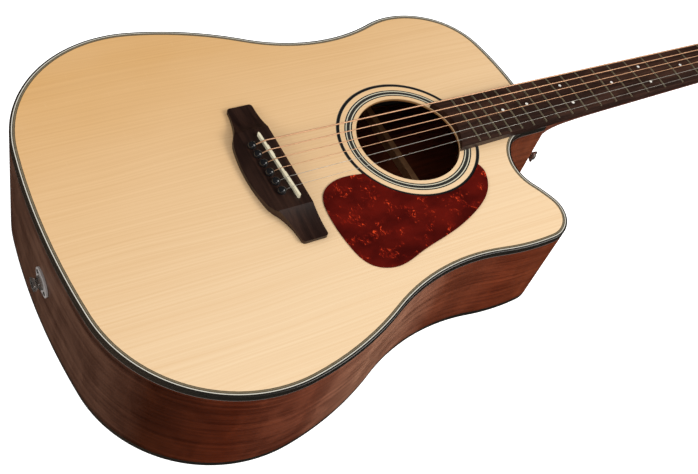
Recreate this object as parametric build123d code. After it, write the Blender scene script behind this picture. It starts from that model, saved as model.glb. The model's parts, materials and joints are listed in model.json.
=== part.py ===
from build123d import *
import os
from math import asin, atan2, cos, degrees, exp, pi, radians, sin, sqrt

# Acoustic guitar: steel strings, large body with a cutaway, pickup and side preamp.
# Everything is drawn in the luthier's frame, in millimetres: x runs from the saddle line
# towards the headstock, y towards the bass side, z out of the soundboard, whose top is z = 0.
# Each piece is then laid down so that the flat back lies on z = 0 of the exported frame,
# with the origin on the back, under the middle of the saddle line.

os.makedirs("parts", exist_ok=True)

# ---------------------------------------------------------------- driving dimensions
SCALE = 644.0                      # string length from saddle line to nut
FRETS = 20
STRINGS = 6
NUT_WIDTH = 42.5
WIDTH_AT_12TH = 53.5
BOARD_THICK = 7.2                  # on the centre line
BOARD_RADIUS = 300.0               # crown of the fretboard
FRET_HEIGHT = 0.95
FRET_WIDTH = 1.9
FRET_INSET = 1.6

DEPTH_TAIL = 126.0                 # outside depth of the body at the tail
DEPTH_NECK = 101.0                 # and at the neck
TOP_THICK = 2.8
BACK_THICK = 2.8
SIDE_THICK = 2.2
BINDING_WIDE = 1.8
BINDING_HIGH = 6.0
WHITE_LINE = 1.0
LINE_BAND = 2.1                    # fine dark and light lines inside the white one
PURFLING_DEEP = 1.5
LINING_WIDE = 6.0
LINING_HIGH = 14.0

TAIL_X = -213.9
# The outline as tangent arcs from the tail button round to the neck: radius, turn in degrees.
# A negative turn bends towards the inside of the body, a positive one away from it.
# Both sides: tail, lower corner, lower bout, waist. Bass: upper bout, shoulder, neck end.
# Treble: upper bout, horn, cutaway flank, cutaway hollow in two arcs that end beside the neck.
BASS_OUTLINE = [(658.0, -7.6), (127.2, -90.1), (310.0, -20.6), (170.8, 47.1), (85.8, -51.3),
                (72.2, -45.4), (304.0, -12.1)]
TREBLE_OUTLINE = [(663.0, -7.4), (128.2, -90.4), (287.0, -20.7), (187.2, 38.8), (233.0, -14.1),
                  (30.1, -106.3), (128.0, -10.0), (41.2, 76.0), (32.0, 44.1)]
UPPER_BOUT_ARC = 4                 # the bass arc that carries the preamp

HOLE_X = 137.8
HOLE_R = 51.0
ROSETTE_DEEP = 1.0
ROSETTE_RINGS = [(HOLE_R + 3.9, HOLE_R + 11.7), (HOLE_R + 15.9, HOLE_R + 19.4)]

SADDLE_LONG = 76.0
SADDLE_WIDE = 2.7
SADDLE_TOP = 12.6
BRIDGE_HIGH = 9.0
WING_HIGH = 3.6
PIN_SPACING = 10.8
PIN_R = 2.9
PIN_HEAD_R = 4.1
PIN_BACK = -14.8                   # middle of the row of pins
PIN_SLANT = -1.2                   # x change of the pins per string towards the bass side

NUT_THICK = 5.5
NUT_STRING_SPAN = 36.0
HEAD_TILT = 14.0
HEAD_THICK = 15.0
VENEER_THICK = 1.5
HEAD_LONG = 184.0
POST_PLACES = [36.0, 76.0, 116.0]  # from the nut, along the headstock
POST_EDGE = 11.0                   # post axis in from the headstock's edge
POST_R = 3.0
KEY_SHAFT_R = 1.6
WORM_R = 1.9
GEAR_R = 4.4
RUNNING = 0.08                     # radial clearance of a turning fit
CLEAR = 0.3                        # gap between curved faces of different bodies

STRING_DIAMETERS = [1.35, 1.07, 0.81, 0.61, 0.41, 0.30]    # bass to treble

# ---------------------------------------------------------------- derived places
INSET_TOP = BINDING_WIDE + WHITE_LINE + LINE_BAND


def fret_x(number):
    """Distance of a fret from the saddle line."""
    return SCALE * 2 ** (-number / 12)


BOARD_TAPER = (WIDTH_AT_12TH - NUT_WIDTH) / (SCALE - fret_x(12))
BOARD_TOP = BOARD_THICK
FRET_TOP = BOARD_TOP + FRET_HEIGHT
BOARD_PAST_HOLE = 0.3              # the board stops this far outside the hole's rim
BOARD_CORNER_BACK = 9.0            # its corners reach back beside the hole by about this much
BOARD_END = HOLE_X + HOLE_R - BOARD_CORNER_BACK


def board_width(x):
    """Width of the fretboard, and of the neck under it."""
    return NUT_WIDTH + (SCALE - x) * BOARD_TAPER


def run_arcs(arcs, start, heading):
    """Follow tangent arcs; give each as centre, radius, first angle, turn, all in radians."""
    x, y = start
    course = heading
    found = []
    for radius, turn in arcs:
        side = 1 if turn > 0 else -1
        cx = x - side * radius * sin(course)
        cy = y + side * radius * cos(course)
        first = atan2(y - cy, x - cx)
        swept = radians(turn)
        found.append((cx, cy, radius, first, swept))
        x = cx + radius * cos(first + swept)
        y = cy + radius * sin(first + swept)
        course += swept
    return found, (x, y)


BASS_ARCS, BASS_END = run_arcs(BASS_OUTLINE, (TAIL_X, 0), pi / 2)
TREBLE_ARCS = run_arcs(TREBLE_OUTLINE, (TAIL_X, 0), pi / 2)[0]
NECK_END_X = BASS_END[0]

BACK_SLOPE = (DEPTH_TAIL - DEPTH_NECK) / (NECK_END_X - TAIL_X)
BACK_ANGLE = degrees(atan2(BACK_SLOPE, 1))
DEPTH_SADDLE = DEPTH_TAIL + TAIL_X * BACK_SLOPE
LAY_DOWN = Rot(0, BACK_ANGLE, 0) * Pos(0, 0, DEPTH_SADDLE)
BACK_FACE = LAY_DOWN.inverse()     # the back's plane, seen in the luthier's frame


# ---------------------------------------------------------------- helpers
LOW = (Align.CENTER, Align.CENTER, Align.MIN)              # round pieces grow along +z


def save(shape, node):
    """Lay a piece, or a list of separate solids, down in the exported frame and write it."""
    pieces = shape if isinstance(shape, list) else [shape]
    solids = []
    for piece in pieces:
        solids += list(piece.solids())
    laid = [LAY_DOWN * solid for solid in solids]
    whole = laid[0] if len(laid) == 1 else Compound(children=laid)
    export_step(whole, "parts/" + node + ".step")


def block(x0, x1, y0, y1, z0, z1):
    """Box between two corners."""
    middle = Pos((x0 + x1) / 2, (y0 + y1) / 2, (z0 + z1) / 2)
    return middle * Box(x1 - x0, y1 - y0, z1 - z0)


def rod(start, end, radius):
    """Round bar between two points."""
    a = Vector(*start)
    b = Vector(*end)
    plane = Plane(origin=a, z_dir=b - a)
    return plane * Cylinder(radius, (b - a).length, align=LOW)


def disc(x, y, z0, z1, radius):
    """Upright cylinder."""
    return rod((x, y, z0), (x, y, z1), radius)


def side_edges(arcs, inset, mirror):
    """One side of the outline as arcs, pulled in by the inset."""
    edges = []
    for cx, cy, radius, first, swept in arcs:
        bulge = -1 if swept < 0 else 1
        r = radius + bulge * inset
        points = []
        for part in (0, 0.5, 1):
            angle = first + swept * part
            points.append((cx + r * cos(angle), mirror * (cy + r * sin(angle))))
        edges.append(ThreePointArc(*points))
    return edges


def body_face(inset):
    """The body's plan, pulled in by the inset."""
    bass = side_edges(BASS_ARCS, inset, 1)
    treble = side_edges(TREBLE_ARCS, inset, -1)
    bass_last = bass[-1] @ 1
    treble_last = treble[-1] @ 1
    corner = (bass_last.X, treble_last.Y)
    closing = [Line(bass_last, corner), Line(corner, treble_last)]
    return make_face(bass + closing + treble)


DEEPEST = DEPTH_TAIL + 20


def prism(inset, z_top=0.0):
    """The plan carried straight down, past the back."""
    return Pos(0, 0, z_top - DEEPEST) * extrude(body_face(inset), DEEPEST)


def above_back(low, high):
    """Everything between two heights over the back's outer face."""
    reach = 1200
    return BACK_FACE * block(-reach, reach, -reach, reach, low, high)


# ---------------------------------------------------------------- body shell
def soundboard():
    lower = Pos(0, 0, -TOP_THICK) * extrude(body_face(BINDING_WIDE), TOP_THICK - PURFLING_DEEP)
    upper = Pos(0, 0, -PURFLING_DEEP) * extrude(body_face(INSET_TOP), PURFLING_DEEP)
    board = lower + upper - disc(HOLE_X, 0, -TOP_THICK - 1, 1, HOLE_R)
    for inner, outer in ROSETTE_RINGS:
        board -= ring(inner, outer, -ROSETTE_DEEP, 1)
    for x, y in pin_places():
        board -= disc(x, y, -TOP_THICK - 1, 1, PIN_R + 0.15)
    return board


def ring(inner, outer, z0, z1):
    """Flat ring round the soundhole."""
    return disc(HOLE_X, 0, z0, z1, outer) - disc(HOLE_X, 0, z0 - 1, z1 + 1, inner)


def rosette():
    return [ring(inner, outer, -ROSETTE_DEEP, 0) for inner, outer in ROSETTE_RINGS]


def sides():
    shell = prism(0, -BINDING_HIGH) - prism(SIDE_THICK)
    shell &= above_back(BINDING_HIGH, DEEPEST * 2)
    shell = shell - tenon(0.2) - rod_channel(0.2) - jack_way(0.1)
    bass = shell & block(-500, 500, 0.05, 500, -500, 10)
    treble = shell & block(-500, 500, -500, -0.05, -500, 10)
    return bass - preamp_window(), treble


def back_plate():
    return prism(BINDING_WIDE) & above_back(0, BACK_THICK)


def back_binding():
    return (prism(0) - prism(BINDING_WIDE)) & above_back(0, BINDING_HIGH)


def top_binding():
    band = body_face(0) - body_face(BINDING_WIDE)
    return Pos(0, 0, -BINDING_HIGH) * extrude(band, BINDING_HIGH) - rod_channel(0.2)


def top_purfling():
    """A white line and, inside it, a band of fine lines."""
    mid = BINDING_WIDE + WHITE_LINE
    white = body_face(BINDING_WIDE) - body_face(mid)
    lines = body_face(mid) - body_face(INSET_TOP)
    return [Pos(0, 0, -PURFLING_DEEP) * extrude(band, PURFLING_DEEP) for band in (white, lines)]


NECK_BLOCK_LONG = 34.0
NECK_BLOCK_WIDE = 30.0
TAIL_BLOCK_LONG = 18.0
TAIL_BLOCK_WIDE = 36.0


def block_zone(grow=0.0):
    """Space of the neck and tail blocks, which the linings stop at."""
    head = block(NECK_END_X - SIDE_THICK - NECK_BLOCK_LONG - grow, 400,
                 -NECK_BLOCK_WIDE - grow, NECK_BLOCK_WIDE + grow, -200, 50)
    tail = block(TAIL_X - 10, TAIL_X + SIDE_THICK + TAIL_BLOCK_LONG + grow,
                 -TAIL_BLOCK_WIDE - grow, TAIL_BLOCK_WIDE + grow, -200, 50)
    return head, tail


def inner_core(inset, low, high):
    """Inside of the body between a height over the back and a depth under the top."""
    return prism(inset, high) & above_back(low, DEEPEST * 2)


def end_blocks():
    head, tail = block_zone()
    core = inner_core(SIDE_THICK + 0.05, BACK_THICK, -TOP_THICK)
    neck_block = (core & head) - tenon(0.2) - rod_channel(0.4)
    tail_block = (core & tail) - jack_way(0.1)
    return neck_block, tail_block


def linings():
    head, tail = block_zone(0.3)
    ring_in = prism(SIDE_THICK + 0.05) - prism(SIDE_THICK + LINING_WIDE)
    ring_in = ring_in - head - tail
    upper = ring_in & block(-500, 500, -500, 500, -TOP_THICK - LINING_HIGH, -TOP_THICK)
    lower = ring_in & above_back(BACK_THICK, BACK_THICK + LINING_HIGH)
    lower -= preamp_case_zone(0.5)
    upper -= preamp_case_zone(0.5)
    return upper, lower


# ---------------------------------------------------------------- bracing
BRACE_WIDE = 8.0
BRACE_HIGH = 15.0
X_CROSS = 62.0
X_HALF_ANGLE = 49.0
BRACE_INSET = SIDE_THICK + LINING_WIDE + 0.5


def top_bar(x, y, angle, long, wide=BRACE_WIDE, high=BRACE_HIGH):
    """Bar glued under the soundboard, with its lower edge rounded."""
    section = Rectangle(wide, high) & Pos(0, -high * 0.15) * Ellipse(wide * 0.62, high * 0.68)
    bar = extrude(Plane.YZ * section, long / 2, both=True)
    return Pos(x, y, -TOP_THICK - high / 2) * Rot(0, 0, angle) * Rot(180, 0, 0) * bar


def x_braces():
    core = prism(BRACE_INSET)
    first = top_bar(X_CROSS, 0, X_HALF_ANGLE, 700) & core
    second = top_bar(X_CROSS, 0, -X_HALF_ANGLE, 700) & core
    overlap = block(X_CROSS - 20, X_CROSS + 20, -20, 20, -60, 0)
    half = -TOP_THICK - BRACE_HIGH / 2
    lap_low = second & overlap & block(-400, 400, -400, 400, -60, half)
    lap_high = first & overlap & block(-400, 400, -400, 400, half, 0)
    return [first - lap_low, second - lap_high]


def other_top_braces():
    core = prism(BRACE_INSET)
    cross = x_braces()
    bars = [top_bar(206, 0, 90, 600, 12, 14)]
    bars.append(top_bar(-62, -8, 62, 250, 7, 11))
    bars.append(top_bar(-112, -4, 62, 250, 7, 10))
    for side in (1, -1):
        bars.append(top_bar(22, side * 128, -side * 62, 78, 7, 7))
        bars.append(top_bar(-18, side * 150, -side * 62, 78, 7, 7))
    trimmed = []
    for bar in bars:
        piece = bar & core
        for arm in cross:
            piece -= arm
        piece -= bridge_plate_zone(0.3)
        biggest = max(piece.solids(), key=lambda solid: solid.volume)
        trimmed.append(biggest)
    return trimmed


BACK_BRACE_PLACES = [(186.0, 6.5, 12.0), (90.0, 6.5, 12.0), (-25.0, 16.0, 11.0), (-130.0, 16.0, 11.0)]


def back_braces():
    """Four ladder bars across the back: place, width, height."""
    core = prism(BRACE_INSET)
    bars = []
    for x, wide, high in BACK_BRACE_PLACES:
        bar = BACK_FACE * block(x - wide / 2, x + wide / 2, -250, 250, BACK_THICK, BACK_THICK + high)
        bars.append(bar & core)
    return bars


def back_strip():
    """Cross-grain strip over the back's centre seam, between the bars."""
    head, tail = block_zone(1.0)
    strip = BACK_FACE * block(-220, 290, -8, 8, BACK_THICK, BACK_THICK + 2.5)
    strip = strip & prism(BRACE_INSET)
    strip = strip - head - tail
    for x, wide, high in BACK_BRACE_PLACES:
        reach = wide / 2 + 0.2
        strip -= BACK_FACE * block(x - reach, x + reach, -20, 20, 0, 40)
    return strip


def bridge_plate_zone(grow):
    return block(-40 - grow, 14 + grow, -72 - grow, 72 + grow, -TOP_THICK - 2.8 - grow, -TOP_THICK)


def bridge_plate():
    plate = bridge_plate_zone(0)
    for arm in x_braces():
        plate -= arm
    plate = max(plate.solids(), key=lambda solid: solid.volume)
    for x, y in pin_places():
        plate -= disc(x, y, -20, 1, PIN_R + 0.15)
    return plate


# ---------------------------------------------------------------- bridge, pins, saddle
def string_offsets(spacing):
    """Bass to treble offsets of the strings for a given spacing."""
    return [spacing * ((STRINGS - 1) / 2 - number) for number in range(STRINGS)]


def pin_places():
    places = []
    for number, y in enumerate(string_offsets(PIN_SPACING)):
        places.append((PIN_BACK + PIN_SLANT * (2.5 - number) * 0.5, y))
    return places


SADDLE_SLANT = 0.045


def saddle_x(y):
    """Compensated saddle line: further from the nut on the bass side."""
    return -3.2 - y * SADDLE_SLANT


BRIDGE_HALF = 78.2
BRIDGE_NOSE = 8.5                  # straight front edge, towards the sound hole
BRIDGE_BELLY = -33.5
BRIDGE_WING = [(-16.8, BRIDGE_HALF), (-17.8, 66.0), (-21.2, 53.0), (-27.0, 42.0)]
BELLY_HALF = 36.0
BELLY_SHOULDER = -29.5
BRIDGE_SHOULDER = 45.0             # where the raised middle gives way to the wings
TIP_ROUND = 3.2
SADDLE_SLOT_FLOOR = 4.0


def bridge_plan():
    """Outline of the bridge: straight in front, a belly behind, and a slim wing each side."""
    edges = [Line((BRIDGE_NOSE, -BRIDGE_HALF), (BRIDGE_NOSE, BRIDGE_HALF))]
    for side in (1, -1):
        wing = [(x, side * y) for x, y in BRIDGE_WING]
        edges.append(Line((BRIDGE_NOSE, side * BRIDGE_HALF), wing[0]))
        edges.append(Spline(*wing, tangents=[(0, -side), (-0.75, -side)]))
        edges.append(Line(wing[-1], (BELLY_SHOULDER, side * BELLY_HALF)))
    belly = ThreePointArc((BELLY_SHOULDER, BELLY_HALF), (BRIDGE_BELLY, 0), (BELLY_SHOULDER, -BELLY_HALF))
    edges.append(belly)
    return make_face(edges)


def wing_scoop(side):
    """Wood carved away over one wing, hollow from the shoulder out to the tip."""
    past = side * (BRIDGE_HALF + 9)
    above = BRIDGE_HIGH + 1
    start = (side * BRIDGE_SHOULDER, BRIDGE_HIGH)
    tip = (side * BRIDGE_HALF, WING_HIGH)
    hollow = ThreePointArc(start, (side * (BRIDGE_SHOULDER + 12), WING_HIGH + 1.5), tip)
    over = Polyline(tip, (past, WING_HIGH), (past, above), (side * BRIDGE_SHOULDER, above), start)
    return extrude(Plane.YZ * make_face([hollow, over]), 60, both=True)


def bridge():
    """Belly bridge: a raised middle and two thin wings."""
    base = extrude(bridge_plan(), BRIDGE_HIGH)
    tips = [edge for edge in base.edges().filter_by(Axis.Z) if abs(edge.center().Y) > BRIDGE_HALF - 1]
    base = fillet(tips, TIP_ROUND)
    for side in (1, -1):
        base -= wing_scoop(side)
    slope_low = (BRIDGE_BELLY, 4.2)
    slope_high = (-22.0, BRIDGE_HIGH)
    behind = Polyline((-40, 4.2), slope_low, slope_high, (-22, 20), (-40, 20), close=True)
    base -= extrude(Plane.XZ * make_face(behind), BRIDGE_SHOULDER, both=True)
    base -= saddle_block(SADDLE_LONG + 0.2, SADDLE_WIDE + 0.1, SADDLE_SLOT_FLOOR, 20.0)
    for x, y in pin_places():
        base -= disc(x, y, -1, 20, PIN_R + 0.1)
    return base


def saddle_block(long, wide, z0, z1):
    """Upright bar along the slanted saddle line."""
    slant = degrees(atan2(SADDLE_SLANT, 1))
    bar = Box(wide, long, z1 - z0)
    bar = fillet(bar.edges().filter_by(Axis.Z), wide * 0.45)
    return Pos(saddle_x(0), 0, (z0 + z1) / 2) * Rot(0, 0, slant) * bar


PICKUP_HIGH = 1.0


def saddle():
    """Compensated saddle with a crowned top: the third string bears further forward."""
    bar = saddle_block(SADDLE_LONG, SADDLE_WIDE, SADDLE_SLOT_FLOOR + PICKUP_HIGH, SADDLE_TOP)
    slant = degrees(atan2(SADDLE_SLANT, 1))
    for y0, y1, front in ((-60, -22, -1), (-10, 10, 1), (22, 60, 1)):
        notch = Box(SADDLE_WIDE, y1 - y0, 1.6)
        middle = (y0 + y1) / 2
        place = Pos(saddle_x(middle) + front * SADDLE_WIDE * 0.72, middle, SADDLE_TOP)
        bar -= place * Rot(0, 0, slant) * notch
    for number, y in enumerate(string_offsets(PIN_SPACING)):
        r = STRING_DIAMETERS[number] / 2
        bar -= rod((-12, y, SADDLE_TOP + 0.02), (10, y, SADDLE_TOP + 0.02), r + 0.03)
    return bar


def saddle_pickup():
    floor = SADDLE_SLOT_FLOOR
    return saddle_block(SADDLE_LONG - 1.0, SADDLE_WIDE - 0.5, floor, floor + PICKUP_HIGH)


def bridge_pins():
    """Slotted pins that wedge each string's ball end under the top."""
    pins = []
    for x, y in pin_places():
        shank = disc(x, y, -7.0, BRIDGE_HIGH, PIN_R)
        collar = disc(x, y, BRIDGE_HIGH, BRIDGE_HIGH + 0.8, PIN_R + 0.6)
        ball = Pos(x, y, BRIDGE_HIGH + 1.3) * Sphere(PIN_HEAD_R)
        ball &= block(x - 9, x + 9, y - 9, y + 9, BRIDGE_HIGH + 0.4, BRIDGE_HIGH + 9)
        way = block(x + 1.1, x + 9, y - 0.9, y + 0.9, -20, BRIDGE_HIGH + 2.4)
        pins.append(shank + collar + ball - way)
    return pins


# ---------------------------------------------------------------- pickguard
def pickguard():
    """Tear-drop plate, hollowed on one side to follow the rosette."""
    thick = 0.9
    gap_to_centre = ROSETTE_RINGS[-1][1] - 0.6
    rim = Spline((189.5, -60.0), (178.0, -80.5), (152.0, -97.5), (121.0, -109.0), (80.0, -119.3),
                 (52.6, -125.5), (31.0, -116.8), (21.5, -92.0), (19.6, -58.0), (26.0, -35.0),
                 (46.0, -24.3), (74.0, -25.8), (128.0, -30.0), (183.0, -42.0), periodic=True)
    hollow = disc(HOLE_X, 0, -1, thick + 1, gap_to_centre)
    return extrude(make_face(rim), thick) - hollow


# ---------------------------------------------------------------- tail jack and strap buttons
JACK_Y = -9.0                      # the jack sits a little to the treble side
JACK_Z = -56.5
JACK_BORE_R = 3.25
JACK_BARREL_R = 4.2
JACK_SLEEVE_R = 4.9
JACK_FLANGE_R = 6.3
JACK_REACH = 9.0                   # out of the tail, with its rim and the cone that flares to it
JACK_RIM_THICK = 1.3
JACK_FLARE = 2.6
JACK_PLATE_TILT = 34.0             # of the line through its screws, up towards the bass side
JACK_PLATE_LONG = 27.0
JACK_PLATE_WIDE = 23.0
JACK_PLATE_THICK = 1.6
JACK_PLACE = Pos(TAIL_X, JACK_Y, JACK_Z) * Rot(0, -90, 0)     # local z points out of the tail
JACK_SCREW_OUT = 9.6
JACK_SCREW_R = 1.2
JACK_INSIDE = 34.0                 # closed sleeve behind the tail's face
JACK_NUT_THICK = 2.4


def jack_screw_places():
    """The plate's two screws, with local z pointing out of the tail."""
    turned = JACK_PLACE * Rot(0, 0, 90 - JACK_PLATE_TILT)
    return [turned * Pos(side * JACK_SCREW_OUT, 0, 0) for side in (1, -1)]


def jack_way(grow):
    """Holes that the jack and its plate's screws need in the tail."""
    way = rod((TAIL_X - 5, JACK_Y, JACK_Z), (TAIL_X + 40, JACK_Y, JACK_Z), JACK_SLEEVE_R + grow)
    for place in jack_screw_places():
        way += place * Pos(0, 0, -12) * Cylinder(JACK_SCREW_R + grow, 14, align=LOW)
    return way


def jack_plate():
    """Oval plate, wide in the middle, with a hole for the jack and one for each screw."""
    plate = extrude(Ellipse(JACK_PLATE_LONG / 2, JACK_PLATE_WIDE / 2), JACK_PLATE_THICK)
    plate -= Cylinder(JACK_SLEEVE_R + 0.1, 20)
    for side in (1, -1):
        plate -= Pos(side * JACK_SCREW_OUT, 0, 0) * Cylinder(JACK_SCREW_R + 0.1, 20)
    return JACK_PLACE * Rot(0, 0, 90 - JACK_PLATE_TILT) * plate


def jack_screws():
    screws = []
    for place in jack_screw_places():
        head = Pos(0, 0, JACK_PLATE_THICK - 1.6) * Sphere(2.7) & block(-4, 4, -4, 4, JACK_PLATE_THICK, 6)
        shank = Pos(0, 0, -11) * Cylinder(JACK_SCREW_R, 11.2 + JACK_PLATE_THICK, align=LOW)
        screws.append(place * (head + shank))
    return screws


def jack_nut():
    """Thin hexagon nut that holds the jack against its plate."""
    nut = extrude(RegularPolygon(6.4, 6), JACK_NUT_THICK) - Cylinder(JACK_BARREL_R + 0.75, 20)
    return JACK_PLACE * Pos(0, 0, JACK_PLATE_THICK) * nut


def jack_barrel():
    """Strap button and socket in one: a sleeve through the tail block, bored for a 6.35 mm plug."""
    sleeve_long = JACK_INSIDE + JACK_PLATE_THICK + JACK_NUT_THICK
    inside = Pos(0, 0, -JACK_INSIDE) * Cylinder(JACK_SLEEVE_R, sleeve_long, align=LOW)
    neck = Cylinder(JACK_BARREL_R, JACK_REACH, align=LOW)
    rim_at = JACK_REACH - JACK_RIM_THICK
    rim = Pos(0, 0, rim_at) * Cylinder(JACK_FLANGE_R, JACK_RIM_THICK, align=LOW)
    cone = Pos(0, 0, rim_at - JACK_FLARE) * Cone(JACK_BARREL_R, JACK_FLANGE_R, JACK_FLARE, align=LOW)
    barrel = inside + neck + rim + cone
    barrel -= Pos(0, 0, 1 - JACK_INSIDE) * Cylinder(JACK_BORE_R, 80, align=LOW)
    return JACK_PLACE * barrel


HEEL_BUTTON_AT = (294.05, -16.55, -52.0)
HEEL_BUTTON_WAY = (0.42, -0.91, 0.0)


def heel_button_plane(out):
    """Plane square to the heel button's axis, so far out of the heel."""
    base = Vector(*HEEL_BUTTON_AT)
    way = Vector(*HEEL_BUTTON_WAY).normalized()
    return Plane(origin=base + way * out, z_dir=way)


BUTTON_FOOT_R = 5.6
BUTTON_REACH = 10.6


def heel_button():
    """Turned strap button: a foot on the heel, a waist for the strap and a wide rim."""
    profile = [(1.9, 0), (BUTTON_FOOT_R, 0), (BUTTON_FOOT_R, 1.0), (3.4, 3.4), (3.2, 6.0), (6.3, 9.2),
               (6.5, BUTTON_REACH), (1.9, BUTTON_REACH)]
    face = Plane.XZ * make_face(Polyline(*profile, close=True))
    return heel_button_plane(0) * revolve(face, Axis.Z, 360)


def heel_button_screw():
    shank = heel_button_plane(-9) * Cylinder(1.8, 9 + BUTTON_REACH, align=LOW)
    head = heel_button_plane(BUTTON_REACH) * Cone(3.6, 2.4, 1.4, align=LOW)
    return shank + head


# ---------------------------------------------------------------- neck
NECK_THICK_NUT = 15.0              # wood under the fretboard
NECK_GROWS = 0.008                 # thickness gained per millimetre towards the body
NECK_SWELL_LONG = 18.0             # the swell into the heel fades over about this length
NECK_STEPS = [0, 5, 10, 16, 24, 34, 48, 66, 90, 180]       # sections, from the body outwards
TENON_WIDE = 18.0
TENON_LONG = 14.0
TENON_DEEP = 76.0
ROD_R = 3.0
ROD_Z = -8.0
ROD_NUT_X = NECK_END_X - SIDE_THICK - NECK_BLOCK_LONG
NUT_BACK_X = SCALE + NUT_THICK
HEAD_FRAME = Pos(NUT_BACK_X, 0, 0) * Rot(0, HEAD_TILT, 0)


def tenon(grow):
    """Tongue of the neck that is glued into the neck block."""
    return block(NECK_END_X - TENON_LONG - grow, NECK_END_X + 8, -TENON_WIDE / 2 - grow,
                 TENON_WIDE / 2 + grow, -TENON_DEEP - grow, -BINDING_HIGH - 1 + grow)


def rod_channel(grow):
    """Way of the truss rod, from the neck block to behind the nut."""
    return rod((ROD_NUT_X - 30, 0, ROD_Z), (SCALE - 12 + grow, 0, ROD_Z), ROD_R + grow)


def neck_section(x):
    """Rounded section of the neck, square to its length, flat on top and fuller near the heel."""
    swell = exp((NECK_END_X - x) / NECK_SWELL_LONG)
    thick = NECK_THICK_NUT + (NUT_BACK_X - x) * NECK_GROWS + 9.5 * swell
    lean = 0.45 - 0.40 * swell
    half = board_width(x) / 2 - 0.1
    shoulder = half * (0.70 + 0.16 * swell)
    low = -thick * 0.66
    curve = Spline((half, 0), (shoulder, low), (0, -thick), (-shoulder, low), (-half, 0),
                   tangents=[(-lean, -1), (-lean, 1)])
    section = make_face([curve, Line((-half, 0), (half, 0))])
    return Plane(origin=(x, 0, 0), x_dir=(0, 1, 0), z_dir=(1, 0, 0)) * section


def heel_section(z, reach, half):
    """Level slice of the heel: flat against the body, rounded towards the nut."""
    curve = Spline((NECK_END_X, half), (NECK_END_X + reach * 0.62, half * 0.62), (NECK_END_X + reach, 0),
                   (NECK_END_X + reach * 0.62, -half * 0.62), (NECK_END_X, -half),
                   tangents=[(1, -0.25), (-1, -0.25)])
    return Pos(0, 0, z) * make_face([curve, Line((NECK_END_X, -half), (NECK_END_X, half))])


HEEL_SLICES = [(-3.0, 62.0, 26.6), (-12.0, 44.0, 25.6), (-24.0, 30.0, 23.5), (-42.0, 21.5, 20.5),
               (-64.0, 17.5, 17.0), (-92.0, 15.0, 13.0)]
HEEL_CAP_THICK = 2.5


def heel():
    slices = [heel_section(*entry) for entry in HEEL_SLICES]
    return loft(slices)


def heel_cap():
    z, reach, half = HEEL_SLICES[-1]
    cap = extrude(heel_section(z, reach, half), -HEEL_CAP_THICK)
    return cap


def head_half_width(x):
    """Half width of the headstock's long straight edges."""
    return 29.2 + x * 0.05


def head_outline(start):
    """Plan of the headstock from a given start, in its own tilted frame."""
    neck_half = NUT_WIDTH / 2
    shoulder = 22.0
    end = HEAD_LONG - 20
    flank = [(start, neck_half - 0.2), (7.0, neck_half + 1.2), (15.0, neck_half + 6.0),
             (shoulder, head_half_width(shoulder))]
    edges = []
    for side in (1, -1):
        points = [(x, side * y) for x, y in flank]
        edges.append(Spline(*points, tangents=[(1, side * 0.02), (1, side * 0.25)]))
        edges.append(Line(points[-1], (end, side * head_half_width(end))))
        edges.append(Spline((end, side * head_half_width(end)), (end + 9, side * head_half_width(end) * 0.72),
                            (HEAD_LONG, 0), tangents=[(0.3, -side * 1.0), (0.4, -side * 1.0)]))
    edges.append(Line((start, neck_half - 0.2), (start, 0.2 - neck_half)))
    return make_face(edges)


def tuner_sites():
    """Number, side, place along and across the headstock: three a side."""
    sites = []
    for number, x in enumerate(POST_PLACES):
        for side in (1, -1):
            sites.append((number, side, x, side * (head_half_width(x) - POST_EDGE)))
    return sites


BUSH_R = 4.4
HEAD_BACK = -HEAD_THICK - VENEER_THICK


def ear_place(side, x, y):
    """Screw that holds a tuner's housing, inboard of its post."""
    return x - 4.0, y - side * 9.0


def neck():
    places = [NECK_END_X + step for step in NECK_STEPS] + [NUT_BACK_X]
    shaft = loft([neck_section(x) for x in places], ruled=True)
    plank = Pos(0, 0, -VENEER_THICK - HEAD_THICK) * extrude(head_outline(-6.0), HEAD_THICK)
    head = HEAD_FRAME * plank
    whole = shaft + heel() + head + tenon(0)
    whole -= rod_channel(0.2)
    whole -= block(ROD_NUT_X, SCALE - 12, -ROD_R - 0.2, ROD_R + 0.2, ROD_Z, 5)
    for number, side, x, y in tuner_sites():
        ear_x, ear_y = ear_place(side, x, y)
        whole -= HEAD_FRAME * disc(x, y, -40, 10, BUSH_R + 0.1)
        whole -= HEAD_FRAME * disc(ear_x, ear_y, HEAD_BACK - 1, HEAD_BACK + 6, 1.1)
    whole -= heel_button_plane(-10) * Cylinder(1.85, 30, align=LOW)
    whole -= heel_button_plane(0) * Cylinder(BUTTON_FOOT_R + 0.1, 8, align=LOW)
    return whole


def headstock_veneer():
    sheet = Pos(0, 0, -VENEER_THICK) * extrude(head_outline(0.05), VENEER_THICK)
    for number, side, x, y in tuner_sites():
        sheet -= disc(x, y, -10, 10, BUSH_R + 0.1)
    return HEAD_FRAME * sheet


# ---------------------------------------------------------------- fretboard
CROWN_AXIS = Axis((0, 0, BOARD_TOP - BOARD_RADIUS), (1, 0, 0))


def crowned(profile, half_width, radius):
    """Turn an upright profile about the crown's axis, as far as the half width each way."""
    swing = degrees(asin(half_width / radius))
    band = revolve(profile, CROWN_AXIS, 2 * swing)
    to_axis = BOARD_TOP - BOARD_RADIUS
    return Pos(0, 0, to_axis) * Rot(-swing, 0, 0) * Pos(0, 0, -to_axis) * band


TANG_WIDE = 0.6
TANG_DEEP = 1.6


def fret_crown(x):
    half = FRET_WIDTH / 2
    base = BOARD_TOP
    cap = ThreePointArc((x - half, base), (x, base + FRET_HEIGHT), (x + half, base))
    return Plane.XZ * make_face([cap, Line((x + half, base), (x - half, base))])


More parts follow.
